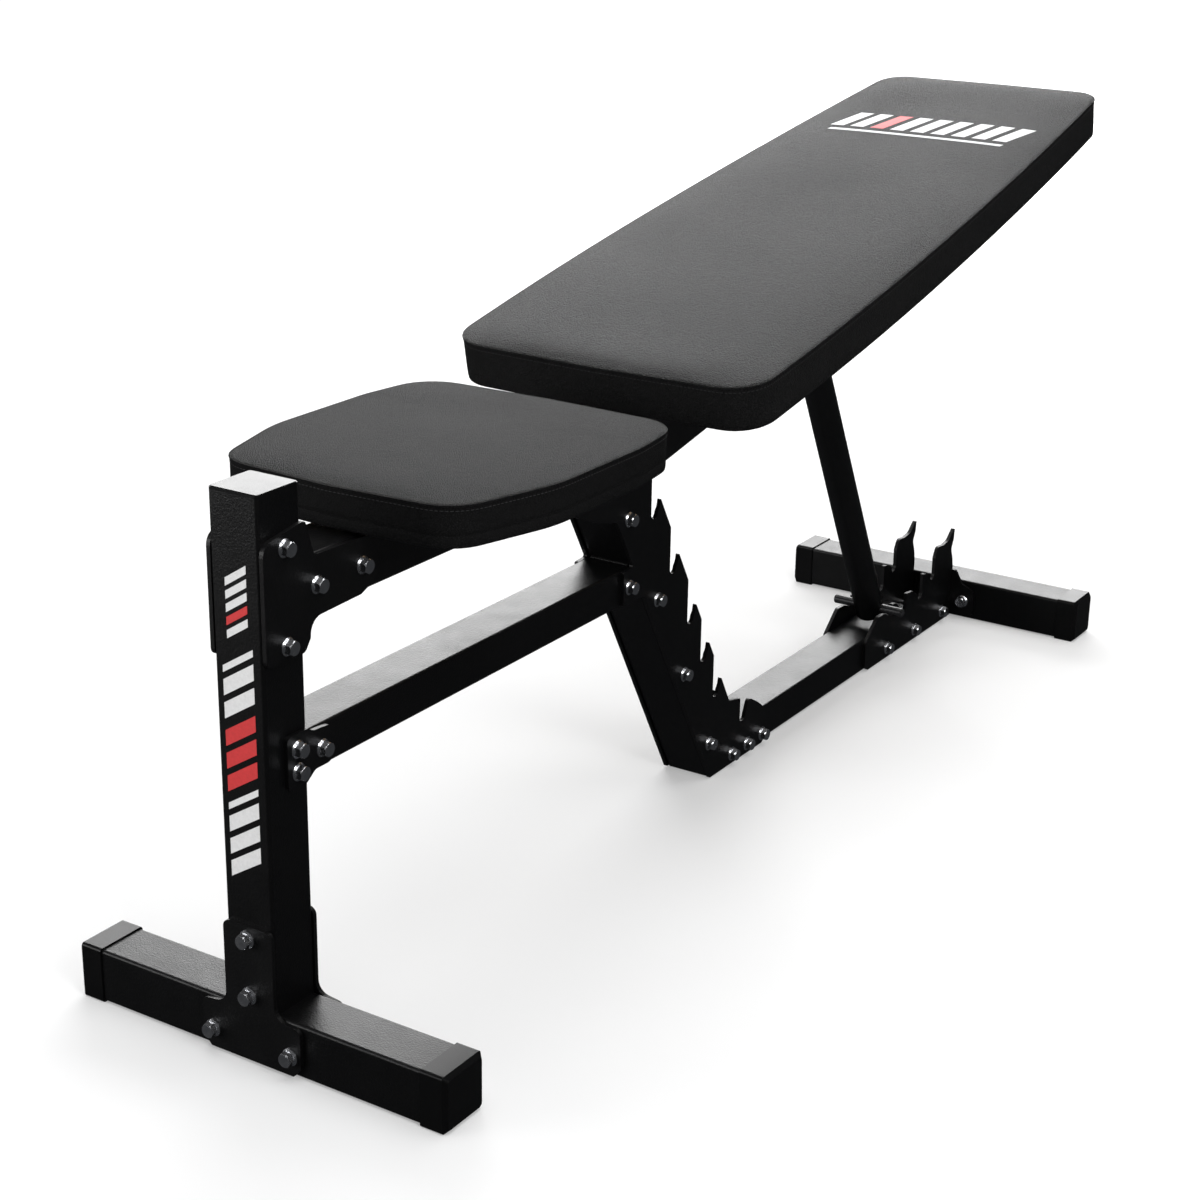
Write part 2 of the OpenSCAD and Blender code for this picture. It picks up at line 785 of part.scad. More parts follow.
front_foot();
front_cap_left();
front_cap_right();
front_post();
post_plug();
foot_plate_front();
foot_plate_rear();
foot_bolts();
foot_nuts();
upper_gusset_left();
upper_gusset_right();
lower_gusset_left();
lower_gusset_right();
gusset_bolts();
gusset_nuts();
seat_tube();
seat_tube_plug();
middle_beam();
slanted_tube();
slanted_tube_plug();
base_rail();
rear_foot();
rear_cap_left();
rear_cap_right();
ladder_plate_left();
ladder_plate_right();
ladder_bolts();
ladder_nuts();
catch_plate_left();
catch_plate_right();
catch_bolts();
catch_nuts();
seat_bracket_front();
seat_bracket_rear();
seat_screws();
seat_board();
seat_foam();
seat_cover();
pivot_spacer();
pivot_bolt();
pivot_nut();
back_rail_left();
back_rail_right();
back_rail_plugs();
back_bushes();
back_cross_front();
back_cross_middle();
back_cross_rear();
back_screws();
back_board();
back_foam();
back_cover();
strut_bolt();
strut_nut();
strut_tube();
strut_sleeve();
strut_bar();
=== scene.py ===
import math
import bmesh
import bpy
from mathutils import Matrix, Vector
from mathutils.bvhtree import BVHTree


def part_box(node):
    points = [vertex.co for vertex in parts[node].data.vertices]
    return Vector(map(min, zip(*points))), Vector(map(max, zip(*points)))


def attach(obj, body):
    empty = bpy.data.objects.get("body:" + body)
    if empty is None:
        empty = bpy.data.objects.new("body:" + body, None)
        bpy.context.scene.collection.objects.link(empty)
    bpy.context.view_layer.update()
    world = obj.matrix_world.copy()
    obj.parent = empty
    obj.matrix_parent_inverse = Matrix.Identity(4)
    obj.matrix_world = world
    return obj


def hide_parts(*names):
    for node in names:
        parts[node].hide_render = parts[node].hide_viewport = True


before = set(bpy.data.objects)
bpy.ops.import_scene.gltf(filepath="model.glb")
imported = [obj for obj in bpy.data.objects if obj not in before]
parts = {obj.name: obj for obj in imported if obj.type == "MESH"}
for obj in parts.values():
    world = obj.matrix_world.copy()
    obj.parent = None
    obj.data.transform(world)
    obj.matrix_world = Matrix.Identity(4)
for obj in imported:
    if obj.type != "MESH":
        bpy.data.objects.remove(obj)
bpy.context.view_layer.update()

MM = 0.001
scene = bpy.context.scene
scene.view_settings.view_transform = "Standard"

# ---- Studio: a wide pale floor that glows to plain white away from the bench, a big soft panel
# behind the bench that slides along every top face, weaker ones above, in front of the post and
# to the right, and a dim grey room so the sides stay dark. The camera was solved from the photo.
post_low, post_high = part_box("front_post")
post_y = (post_low.y + post_high.y) / 2


def beside_post(x, y, z):
    """A point given in millimetres from the foot of the front post."""
    return Vector((x * MM, post_y + y * MM, z * MM))


def put(name, data):
    """A new object in the scene, at the origin."""
    piece = bpy.data.objects.new(name, data)
    scene.collection.objects.link(piece)
    return piece


camera_spot = beside_post(1130.1, -1275.4, 1027.4)
turn, dip, roll = math.radians(32.41), math.radians(20.13), math.radians(0.94)
lens_mm, sensor_mm = 68.09, 36
back = Vector((math.sin(turn) * math.cos(dip), -math.cos(turn) * math.cos(dip), math.sin(dip)))
level = Vector((0, 0, 1)).cross(back).normalized()
upright = back.cross(level)
right = level * math.cos(roll) + upright * math.sin(roll)
head_up = upright * math.cos(roll) - level * math.sin(roll)
camera = put("camera", bpy.data.cameras.new("camera"))
camera.matrix_world = Matrix.Translation(camera_spot) @ Matrix((right, head_up, back)).transposed().to_4x4()
camera.data.lens, camera.data.sensor_width = lens_mm, sensor_mm
camera.data.clip_end = 200
camera.data.shift_y = 0.001
scene.camera = camera

floor_half = 60
glow_from, glow_to = 1.3, 4.0
glow_near, glow_far = 0.29, 1.0
floor_mesh = bpy.data.meshes.new("studio_floor")
floor_mesh.from_pydata([(-floor_half, -floor_half, 0), (floor_half, -floor_half, 0),
                        (floor_half, floor_half, 0), (-floor_half, floor_half, 0)], [], [(0, 1, 2, 3)])
floor = put("studio_floor", floor_mesh)
floor_finish = bpy.data.materials.new("pale_floor")
floor_finish.use_nodes = True
floor_shader = floor_finish.node_tree.nodes["Principled BSDF"]
floor_shader.inputs["Base Color"].default_value = (0.66, 0.66, 0.66, 1)
floor_shader.inputs["Roughness"].default_value = 0.9
floor_shader.inputs["Specular IOR Level"].default_value = 0.0
floor_shader.inputs["Emission Color"].default_value = (1, 1, 1, 1)
floor_tree = floor_finish.node_tree
floor_place = floor_tree.nodes.new("ShaderNodeTexCoord")
floor_reach = floor_tree.nodes.new("ShaderNodeVectorMath")
floor_reach.operation = "LENGTH"
floor_glow = floor_tree.nodes.new("ShaderNodeMapRange")
floor_glow.inputs["From Min"].default_value, floor_glow.inputs["From Max"].default_value = glow_from, glow_to
floor_glow.inputs["To Min"].default_value, floor_glow.inputs["To Max"].default_value = glow_near, glow_far
floor_tree.links.new(floor_place.outputs["Object"], floor_reach.inputs[0])
floor_tree.links.new(floor_reach.outputs["Value"], floor_glow.inputs["Value"])
floor_tree.links.new(floor_glow.outputs["Result"], floor_shader.inputs["Emission Strength"])
floor_mesh.materials.append(floor_finish)
floor.visible_glossy = False


def soft_panel(name, spot, aim, width, height, power):
    """An area light of width x height metres and power watts, turned to a point."""
    data = bpy.data.lights.new(name, "AREA")
    data.shape, data.size, data.size_y, data.energy = "RECTANGLE", width, height, power
    lamp = put(name, data)
    spot, aim = Vector(spot), Vector(aim)
    lamp.matrix_world = Matrix.Translation(spot) @ (spot - aim).to_track_quat("Z", "Y").to_matrix().to_4x4()
    lamp.visible_camera = False
    return lamp


soft_panel("overhead_panel", (0.2, 0.3, 4.2), (0, 0, 0), 5.0, 5.0, 200)
soft_panel("rear_panel", (-2.9, 4.6, 2.5), (0, 0, 0.3), 5.0, 2.6, 315)
soft_panel("front_panel", (-2.8, -3.2, 0.9), (0, -0.6, 0.3), 2.4, 1.8, 70)
soft_panel("side_panel", (3.2, -1.6, 2.4), (0, 0, 0.3), 1.6, 1.6, 55)

room = bpy.data.worlds.new("grey_room")
room.use_nodes = True
room.node_tree.nodes["Background"].inputs["Color"].default_value = (0.92, 0.95, 1.0, 1)
room.node_tree.nodes["Background"].inputs["Strength"].default_value = 0.035
scene.world = room

# ---- Square and oblong steel tubes: both feet, the front post, the seat tube, the middle beam,
# the slanted tube and the base rail. Drawn, cut, welded, then baked in black powder coat,
# which dries with a fine orange-peel grain.


def step(tree, kind, settings=(), **inputs):
    """One node. An input named n0, n1 ... goes by number; a socket is joined, any other value is set."""
    node = tree.nodes.new(kind)
    for name, value in dict(settings).items():
        setattr(node, name, value)
    for name, value in inputs.items():
        socket = node.inputs[int(name[1:])] if name[0] == "n" and name[1:].isdigit() else node.inputs[
            name.replace("_", " ")]
        if isinstance(value, bpy.types.NodeSocket):
            tree.links.new(value, socket)
        else:
            socket.default_value = value
    return node


def new_finish(name):
    """A new material with its node tree, its shader and the piece's own coordinates."""
    finish = bpy.data.materials.new(name)
    finish.use_nodes = True
    tree = finish.node_tree
    return finish, tree, tree.nodes["Principled BSDF"], step(tree, "ShaderNodeTexCoord").outputs["Object"]


def powder_coat(name, dark, light, rough, grain):
    """Black powder coat: cloudy in tone and gloss, with an orange-peel grain of strength grain."""
    finish, tree, shader, place = new_finish(name)
    cloud = step(tree, "ShaderNodeTexNoise", Vector=place, Scale=9.0, Detail=3.0)
    tone = step(tree, "ShaderNodeMix", {"data_type": "RGBA"}, Factor=cloud.outputs["Fac"], n6=dark, n7=light)
    tree.links.new(tone.outputs["Result"], shader.inputs["Base Color"])
    patch = step(tree, "ShaderNodeTexNoise", Vector=place, Scale=38.0, Detail=2.0)
    gloss = step(tree, "ShaderNodeMapRange", Value=patch.outputs["Fac"], n3=rough - 0.05, n4=rough + 0.06)
    tree.links.new(gloss.outputs["Result"], shader.inputs["Roughness"])
    peel = step(tree, "ShaderNodeTexNoise", Vector=place, Scale=560.0, Detail=2.0, Roughness=0.6)
    swell = step(tree, "ShaderNodeTexNoise", Vector=place, Scale=150.0, Detail=1.0)
    height = step(tree, "ShaderNodeMath", {"operation": "MULTIPLY_ADD"}, n0=swell.outputs["Fac"], n1=0.12,
                  n2=peel.outputs["Fac"])
    bump = step(tree, "ShaderNodeBump", Height=height.outputs["Value"], Strength=grain, Distance=0.00032)
    tree.links.new(bump.outputs["Normal"], shader.inputs["Normal"])
    shader.inputs["Specular IOR Level"].default_value = 0.3
    return finish


def coat_nodes(finish, *names):
    """Gives whole CAD nodes one finish."""
    for name in names:
        mesh = parts[name].data
        if not mesh.materials:
            mesh.materials.append(finish)
        for i in range(len(mesh.materials)):
            mesh.materials[i] = finish


tube_coat = powder_coat("black_tube_coat", (0.0012, 0.0012, 0.0014, 1), (0.003, 0.003, 0.0033, 1),
                        rough=0.36, grain=0.8)
coat_nodes(tube_coat, "front_foot", "front_post", "seat_tube", "middle_beam", "slanted_tube", "base_rail",
           "rear_foot", "pivot_spacer")

# ---- Laser-cut plates, 4 mm: foot plates, gussets, ladder plates with the hooks and catch plates.
# Same powder coat, a little smoother because flat sheet takes the powder more evenly.
plate_coat = powder_coat("black_plate_coat", (0.0014, 0.0014, 0.0016, 1), (0.0034, 0.0034, 0.0037, 1),
                         rough=0.40, grain=0.5)
coat_nodes(plate_coat, "foot_plate_front", "foot_plate_rear", "upper_gusset_left", "upper_gusset_right",
           "lower_gusset_left", "lower_gusset_right", "ladder_plate_left", "ladder_plate_right",
           "catch_plate_left", "catch_plate_right")

# ---- Flat brackets under the seat, and the rails and crossbars under the backrest.
# Punched flat bar and 60 x 20 tube in the same black coat.
bracket_coat = powder_coat("black_bracket_coat", (0.0024, 0.0024, 0.0027, 1), (0.0046, 0.0046, 0.005, 1),
                           rough=0.42, grain=0.6)
coat_nodes(bracket_coat, "seat_bracket_front", "seat_bracket_rear", "back_rail_left", "back_rail_right",
           "back_cross_front", "back_cross_middle", "back_cross_rear")

# ---- Hook strut: a round tube hanging from the backrest, with a sleeve welded across its top
# and the round bar that drops into the hooks welded across its foot. The bar's coat is smoother,
# and its colour is several times lighter than the tube's as a painted highlight.
strut_coat = powder_coat("black_strut_coat", (0.002, 0.002, 0.0022, 1), (0.004, 0.004, 0.0044, 1),
                         rough=0.33, grain=0.5)
coat_nodes(strut_coat, "strut_tube", "strut_sleeve")
# The bar's lighter tone is a painted highlight along the bar.
bar_coat = powder_coat("bar_coat_painted_highlight", (0.008, 0.008, 0.0088, 1), (0.03, 0.03, 0.032, 1),
                       rough=0.27, grain=0.3)
coat_nodes(bar_coat, "strut_bar")

# ---- End caps and plugs: injection-moulded black polyethylene, pressed over the feet and into
# the open tube ends, with a faint spark-eroded surface from the mould.
moulded, tree, shader, place = new_finish("moulded_cap")
cloud = step(tree, "ShaderNodeTexNoise", Vector=place, Scale=22.0, Detail=2.0)
tone = step(tree, "ShaderNodeMix", {"data_type": "RGBA"}, Factor=cloud.outputs["Fac"],
            n6=(0.002, 0.002, 0.0022, 1), n7=(0.004, 0.004, 0.0042, 1))
tree.links.new(tone.outputs["Result"], shader.inputs["Base Color"])
gloss = step(tree, "ShaderNodeMapRange", Value=cloud.outputs["Fac"], n3=0.27, n4=0.36)
tree.links.new(gloss.outputs["Result"], shader.inputs["Roughness"])
spark = step(tree, "ShaderNodeTexNoise", Vector=place, Scale=1900.0, Detail=2.0)
bump = step(tree, "ShaderNodeBump", Height=spark.outputs["Fac"], Strength=0.35, Distance=0.00008)
tree.links.new(bump.outputs["Normal"], shader.inputs["Normal"])
shader.inputs["Specular IOR Level"].default_value = 0.2
coat_nodes(moulded, "front_cap_left", "front_cap_right", "rear_cap_left", "rear_cap_right", "post_plug",
           "seat_tube_plug", "slanted_tube_plug", "back_rail_plugs", "back_bushes")

# ---- Flange bolts and nuts: cold-headed steel, bright zinc plated, slightly cloudy with a cool
# tint, with the turning marks of the header on the flat of each head.
zinc, tree, shader, place = new_finish("bright_zinc")
cloud = step(tree, "ShaderNodeTexNoise", Vector=place, Scale=160.0, Detail=3.0)
tone = step(tree, "ShaderNodeMix", {"data_type": "RGBA"}, Factor=cloud.outputs["Fac"],
            n6=(0.70, 0.72, 0.77, 1), n7=(0.90, 0.90, 0.91, 1))
tree.links.new(tone.outputs["Result"], shader.inputs["Base Color"])
gloss = step(tree, "ShaderNodeMapRange", Value=cloud.outputs["Fac"], n3=0.18, n4=0.32)
tree.links.new(gloss.outputs["Result"], shader.inputs["Roughness"])
marks = step(tree, "ShaderNodeTexNoise", Vector=place, Scale=900.0, Detail=3.0)
bump = step(tree, "ShaderNodeBump", Height=marks.outputs["Fac"], Strength=0.3, Distance=0.00012)
tree.links.new(bump.outputs["Normal"], shader.inputs["Normal"])
shader.inputs["Metallic"].default_value = 1.0
coat_nodes(zinc, "foot_bolts", "foot_nuts", "gusset_bolts", "gusset_nuts", "ladder_bolts", "ladder_nuts",
           "catch_bolts", "catch_nuts", "seat_screws", "pivot_bolt", "pivot_nut", "back_screws", "strut_bolt",
           "strut_nut")

# ---- Plywood boards inside both cushions, seen only from below between the stapled hems.
ply, tree, shader, place = new_finish("birch_ply")
along = step(tree, "ShaderNodeMapping", Vector=place, Scale=(60.0, 5.0, 60.0))
grain = step(tree, "ShaderNodeTexNoise", Vector=along.outputs["Vector"], Scale=3.0, Detail=6.0,
             Distortion=0.6)
tone = step(tree, "ShaderNodeMix", {"data_type": "RGBA"}, Factor=grain.outputs["Fac"],
            n6=(0.20, 0.125, 0.066, 1), n7=(0.42, 0.30, 0.18, 1))
tree.links.new(tone.outputs["Result"], shader.inputs["Base Color"])
shader.inputs["Roughness"].default_value = 0.72
bump = step(tree, "ShaderNodeBump", Height=grain.outputs["Fac"], Strength=0.4, Distance=0.0004)
tree.links.new(bump.outputs["Normal"], shader.inputs["Normal"])
coat_nodes(ply, "seat_board", "back_board")

# ---- Weld beads: short fillets where the slanted tube meets the beam and the base rail and where
# the strut takes its bar. A row of overlapping ripples under the same black coat.


def bead_row(name, shape):
    """A node tree that sets one small solid after another along a path, ends first to last."""
    tree = bpy.data.node_groups.new(name, "GeometryNodeTree")
    tree.interface.new_socket("Path", in_out="INPUT", socket_type="NodeSocketGeometry")
    for label in ("Pitch", "Length", "Width", "Height"):
        tree.interface.new_socket(label, in_out="INPUT", socket_type="NodeSocketFloat")
    tree.interface.new_socket("Finish", in_out="INPUT", socket_type="NodeSocketMaterial")
    tree.interface.new_socket("Row", in_out="OUTPUT", socket_type="NodeSocketGeometry")
    given = tree.nodes.new("NodeGroupInput").outputs
    curve = step(tree, "GeometryNodeMeshToCurve", n0=given["Path"])
    spaced = step(tree, "GeometryNodeResampleCurve", n0=curve.outputs[0])
    spaced.mode = "LENGTH"
    tree.links.new(given["Pitch"], spaced.inputs["Length"])
    heading = step(tree, "GeometryNodeInputTangent")
    faced = step(tree, "FunctionNodeAlignRotationToVector", {"axis": "Y"}, Vector=heading.outputs[0])
    if shape == "grain":
        solid = step(tree, "GeometryNodeMeshUVSphere", Segments=8, Rings=5, Radius=0.5)
    else:
        solid = step(tree, "GeometryNodeMeshCube")
    size = step(tree, "ShaderNodeCombineXYZ", X=given["Width"], Y=given["Length"], Z=given["Height"])
    placed = step(tree, "GeometryNodeInstanceOnPoints", Points=spaced.outputs[0],
                  Instance=solid.outputs["Mesh"], Rotation=faced.outputs[0], Scale=size.outputs[0])
    real = step(tree, "GeometryNodeRealizeInstances", n0=placed.outputs[0])
    soft = step(tree, "GeometryNodeSetShadeSmooth", n0=real.outputs[0])
    soft.inputs["Shade Smooth"].default_value = shape == "grain"
    dressed = step(tree, "GeometryNodeSetMaterial", Geometry=soft.outputs[0], Material=given["Finish"])
    out = tree.nodes.new("NodeGroupOutput")
    tree.links.new(dressed.outputs[0], out.inputs[0])
    return tree


def grow(name, paths, closed, tree, place, **values):
    """Runs a node tree over one or more paths and keeps the result as a plain mesh."""
    points, edges = [], []
    for path in paths:
        first = len(points)
        points += [tuple(p) for p in path]
        edges += [(first + i, first + i + 1) for i in range(len(path) - 1)]
        if closed:
            edges.append((first + len(path) - 1, first))
    lines = bpy.data.meshes.new(name + "_path")
    lines.from_pydata(points, edges, [])
    piece = put(name, lines)
    modifier = piece.modifiers.new("row", "NODES")
    modifier.node_group = tree
    for item in tree.interface.items_tree:
        label = item.name.lower()
        if item.item_type == "SOCKET" and item.in_out == "INPUT" and label in values:
            modifier[item.identifier] = values[label]
    bpy.context.view_layer.update()
    solid = bpy.data.meshes.new_from_object(piece.evaluated_get(bpy.context.evaluated_depsgraph_get()))
    piece.modifiers.clear()
    piece.data = solid
    solid.name = name
    solid.transform(place)
    return piece


weld_tree = bead_row("weld_bead", "grain")
weld_coat = powder_coat("black_weld_coat", (0.0022, 0.0022, 0.0025, 1), (0.0044, 0.0044, 0.0048, 1),
                        rough=0.4, grain=0.5)


def weld(name, body, *paths):
    bead = grow(name, paths, False, weld_tree, Matrix.Identity(4), pitch=1.7 * MM, length=3.4 * MM,
                width=3.6 * MM, height=3.6 * MM, finish=weld_coat)
    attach(bead, body)


rail_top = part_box("base_rail")[1].z / MM
beam_low, beam_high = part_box("middle_beam")[0].z / MM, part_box("middle_beam")[1].z / MM
slant_angle, slant_depth = math.radians(60), 30
slant_mark_y, slant_mark_z = 492, 343


def slant_face(z, rear=False):
    """How far behind the post the slanted tube's front or rear face lies at a height."""
    return (slant_mark_y + (slant_mark_z - z) / math.tan(slant_angle)
            + (slant_depth / math.sin(slant_angle) if rear else 0))


across_tube = (-21, 0, 21)
weld("weld_slant_to_rail", "frame",
     [beside_post(x, slant_face(rail_top, True) + 0.2, rail_top + 0.2) for x in across_tube])
weld("weld_beam_to_slant", "frame",
     [beside_post(x, slant_face(beam_high) - 0.2, beam_high - 0.2) for x in across_tube],
     [beside_post(x, slant_face(beam_low) - 0.8, beam_low - 0.4) for x in across_tube])

strut_pin, bar_seat = beside_post(0, 901, 482), beside_post(0, 1124, 63)
weld_side, weld_radius, weld_saddle = 16.4, 6.0, 1.6
strut_way = (bar_seat - strut_pin).normalized()
strut_side = Vector((0, -strut_way.z, strut_way.y))


def ring_round_bar(side):
    """A path round the bar where it leaves one side of the strut's foot."""
    centre = bar_seat + Vector((side * weld_side * MM, 0, 0))
    return [centre + weld_radius * MM * (math.cos(a) * strut_way + math.sin(a) * strut_side)
            + Vector((-side * weld_saddle * MM * abs(math.sin(a)), 0, 0))
            for a in [math.radians(15 * i) for i in range(25)]]


weld("weld_bar_to_strut", "strut", ring_round_bar(-1), ring_round_bar(1))

# ---- Seat cushion: foam on a plywood board under stretched black vinyl. The cover is a top panel
# joined to a side band by a welted seam, and the board's edge shows as a crease low on the band.


def arc_corner(a, b, c, r, n=8):
    """Points along an arc of radius r that rounds the corner b between a and c."""
    u, w = (a - b).normalized(), (c - b).normalized()
    half = math.acos(max(-1, min(1, u.dot(w)))) / 2
    centre = b + (u + w).normalized() * (r / math.sin(half))
    p, q = b + u * (r / math.tan(half)) - centre, b + w * (r / math.tan(half)) - centre
    start = math.atan2(p.y, p.x)
    sweep = (math.atan2(q.y, q.x) - start + math.pi) % (2 * math.pi) - math.pi
    return [centre + r * Vector((math.cos(start + sweep * i / n), math.sin(start + sweep * i / n)))
            for i in range(n + 1)]


def rounded(corners, gap=6.0):
    """A closed outline in millimetres through corners (x, y, radius), with points along its sides."""
    line = []
    for i, (x, y, r) in enumerate(corners):
        a, b, c = Vector(corners[i - 1][:2]), Vector((x, y)), Vector(corners[(i + 1) % len(corners)][:2])
        line += arc_corner(a, b, c, r) if r else [b]
    dense = []
    for i, p in enumerate(line):
        q = line[(i + 1) % len(line)]
        n = max(1, round((q - p).length / gap))
        dense += [p.lerp(q, k / n) for k in range(n)]
    return dense


def inward(line, inset):
    """The same outline moved inwards by inset, point for point."""
    moved = []
    for i, p in enumerate(line):
        way = (line[(i + 1) % len(line)] - line[i - 1]).normalized()
        moved.append(p + Vector((-way.y, way.x)) * inset)
    return moved


def mirrored(right_side):
    """The right half of an outline, from front to rear, with its mirror image added."""
    return right_side + [(-x, y, r) for x, y, r in reversed(right_side[1:-1])]


def face_outward(mesh, merge=0.0):
    """Turns every face of a closed mesh outward, after joining points nearer than merge metres."""
    form = bmesh.new()
    form.from_mesh(mesh)
    if merge:
        bmesh.ops.remove_doubles(form, verts=form.verts, dist=merge)
    bmesh.ops.recalc_face_normals(form, faces=form.faces)
    form.to_mesh(mesh)
    form.free()


# How the top panel rises from the seam: (distance inwards, rise) in millimetres.
seam_roll = ((0.7, -0.1), (1.7, 0.3), (4.5, 0.6), (9, 0.9), (14, 1.1), (20, 1.2), (28, 1.3), (38, 1.3),
             (50, 1.4))
# The flat underside: how far in and how high it starts, and how far each ring runs to the middle.
base_inset, base_height, base_rings = 20, 1.2, (1.0, 0.6, 0.25, 0.0)
top_rings = 7


def cushion_form(name, edge, thick, y0, y1, band):
    """A closed cushion: rings up the band, then rings that run in to a line from y0 to y1.
    The band holds (inset, height) pairs from the bottom edge to the seam under the top panel."""
    spine = [Vector((0, min(max(p.y, y0), y1))) for p in edge]

    def ring(distance, share, z):
        found = []
        for p, s in zip(edge, spine):
            part = distance / (s - p).length
            q = p.lerp(s, part + (1 - part) * share)
            found.append((q.x, q.y, z))
        return found

    last, last_rise = seam_roll[-1]
    rings = [ring(base_inset, share, base_height) for share in base_rings]
    rings += [[(p.x, p.y, z) for p in inward(edge, inset)] for inset, z in band]
    rings += [ring(distance, 0, thick + rise) for distance, rise in seam_roll]
    rings += [ring(last, k / top_rings, thick + last_rise) for k in range(1, top_rings + 1)]
    points = [Vector(p) * MM for r in rings for p in r]
    n = len(edge)
    faces = [(k * n + i, k * n + (i + 1) % n, (k + 1) * n + (i + 1) % n, (k + 1) * n + i)
             for k in range(len(rings) - 1) for i in range(n)]
    mesh = bpy.data.meshes.new(name)
    mesh.from_pydata(points, [], faces)
    face_outward(mesh, merge=0.02 * MM)
    return put(name, mesh)


def settle(piece):
    """Turns a piece with its modifiers into a plain mesh."""
    bpy.context.view_layer.update()
    done = bpy.data.meshes.new_from_object(piece.evaluated_get(bpy.context.evaluated_depsgraph_get()))
    piece.modifiers.clear()
    piece.data = done


foam_pressure, foam_frames = 4.0, 20
swell_limit = 3.2
hem_height, lowest = 3.6, 0.7
seam_below, seam_above, crease_half = 2.4, 0.65, 1.4


def stuff(piece, thick, crease=None):
    """Swells a cushion like packed foam: the bottom edge, the seam and a crease at a height stay
    put while the panels between them fill out, by swell_limit millimetres at the most."""

    def sewn(z):
        return (z < hem_height or (crease is not None and abs(z - crease) < crease_half)
                or thick - seam_below < z < thick + seam_above)

    mesh = piece.data
    before = [v.co.copy() for v in mesh.vertices]
    pins = piece.vertex_groups.new(name="sewn")
    pins.add([v.index for v in mesh.vertices if sewn((v.co / MM).z)], 1.0, "REPLACE")
    cloth = piece.modifiers.new("cover", "CLOTH")
    cloth.settings.quality = 5
    cloth.settings.mass = 0.3
    cloth.settings.tension_stiffness = cloth.settings.compression_stiffness = 14
    cloth.settings.bending_stiffness = 0.5
    cloth.settings.use_pressure = True
    cloth.settings.uniform_pressure_force = foam_pressure
    cloth.settings.effector_weights.gravity = 0.0
    cloth.settings.vertex_group_mass = "sewn"
    cloth.point_cache.frame_start, cloth.point_cache.frame_end = 1, foam_frames
    for f in range(1, foam_frames + 1):
        scene.frame_set(f)
    swollen = piece.evaluated_get(bpy.context.evaluated_depsgraph_get()).data
    after = [v.co.copy() for v in swollen.vertices]
    piece.modifiers.clear()
    scene.frame_set(1)
    for v, old, new in zip(mesh.vertices, before, after):
        move = new - old
        far = move.length
        if far > 0:
            limit = swell_limit * MM
            v.co = old + move * (min(far, limit * (1 - math.exp(-far / limit))) / far)
    piece.vertex_groups.clear()
    for v in mesh.vertices:
        if v.co.z < lowest * MM:
            v.co.z = lowest * MM
    finer = piece.modifiers.new("finer", "SUBSURF")
    finer.levels = finer.render_levels = 1
    settle(piece)


def press_seam(piece, height, depth, width):
    """Draws the cover in along a sewn line that runs round the band at a height."""
    mesh = piece.data
    ways = [v.normal.copy() for v in mesh.vertices]
    for v, way in zip(mesh.vertices, ways):
        off = (v.co.z / MM - height) / width
        if abs(off) < 3 and abs(way.z) < 0.9:
            v.co -= way * depth * MM * math.exp(-off * off)


def skin_of(piece):
    """The piece's surface, ready to be searched for nearest points and ray hits."""
    form = bmesh.new()
    form.from_mesh(piece.data)
    skin = BVHTree.FromBMesh(form)
    form.free()
    return skin


def snapped(piece, line, height, lift):
    """A line laid on the cushion's skin at a height, lifted off it by lift millimetres."""
    skin = skin_of(piece)
    found = []
    for p in line:
        spot, way, _, _ = skin.find_nearest(Vector((p.x, p.y, height)) * MM)
        found.append(spot + way * lift * MM)
    return found


def upholster(name, edge, thick, y0, y1, low_band, drops, crease=None):
    """The finished cushion: low_band lists the band up to half way, then drops below the top seam."""
    band = low_band + [(-0.2, thick - drop) for drop in drops] + [(0.0, thick - 0.7)]
    cushion = cushion_form(name, edge, thick, y0, y1, band)
    stuff(cushion, thick, crease)
    if crease is not None:
        press_seam(cushion, crease, depth=0.9, width=1.5)
    press_seam(cushion, thick - 2.0, depth=0.3, width=0.9)
    return cushion


